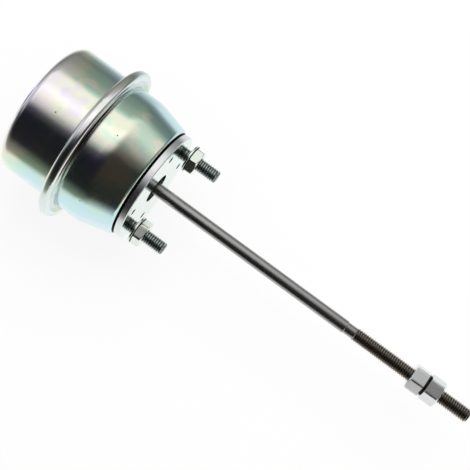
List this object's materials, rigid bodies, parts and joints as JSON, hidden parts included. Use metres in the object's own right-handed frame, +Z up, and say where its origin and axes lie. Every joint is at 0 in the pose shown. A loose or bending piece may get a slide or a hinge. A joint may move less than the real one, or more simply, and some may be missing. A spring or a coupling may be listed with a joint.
{
  "type": "wastegate actuator",
  "caption": "Diaphragm wastegate actuator: rolled two-piece steel can, round mounting plate with studs, and a long push rod with a threaded end and lock nuts.",
  "frame": {"origin": "centre of the mounting plate's front face, on the push rod's axis", "axes": "+X along the push rod towards its threaded tip, +Y towards one mounting stud, +Z up"},
  "size_m": [0.2186, 0.0694, 0.0694],
  "materials": {
    "passivated_cover": "zinc plated with a clear iridescent passivate",
    "bright_plate": "bright zinc plate",
    "zinc_steel": "bright zinc plate",
    "zinc_thread": "grey-green zinc on a rolled thread",
    "rod_steel": "dark drawn steel, lightly oiled",
    "nut_steel": "satin steel",
    "pressed_aluminium": "pressed sheet",
    "rubber_cloth": "rubber on fabric, satin",
    "spring_steel": "oiled spring wire",
    "guide_plastic": "dark filled plastic"
  },
  "bodies": {
    "housing": {"rear_cover": "passivated_cover", "front_cover": "passivated_cover", "hose_nipple": "zinc_steel", "mounting_plate": "bright_plate", "stud_upper": "zinc_thread", "stud_lower": "zinc_thread", "stud_washer_upper": "zinc_steel", "stud_washer_lower": "zinc_steel", "stud_nut_upper": "zinc_steel", "stud_nut_lower": "zinc_steel", "spring_seat": "zinc_steel", "rod_guide": "guide_plastic", "return_spring": "spring_steel", "diaphragm": "rubber_cloth"},
    "rod": {"push_rod": "rod_steel", "adjusting_nut": "nut_steel", "lock_nut": "nut_steel", "piston": "pressed_aluminium", "diaphragm_retainer": "zinc_steel", "backing_washer": "zinc_steel"}
  },
  "joints": [
    {"name": "rod_slide", "type": "slide", "parent": "housing", "child": "rod", "axis": [1, 0, 0], "range_m": [0, 0.012], "stiffness_N_per_m": 3200, "deforming": ["return_spring", "diaphragm"]}
  ]
}
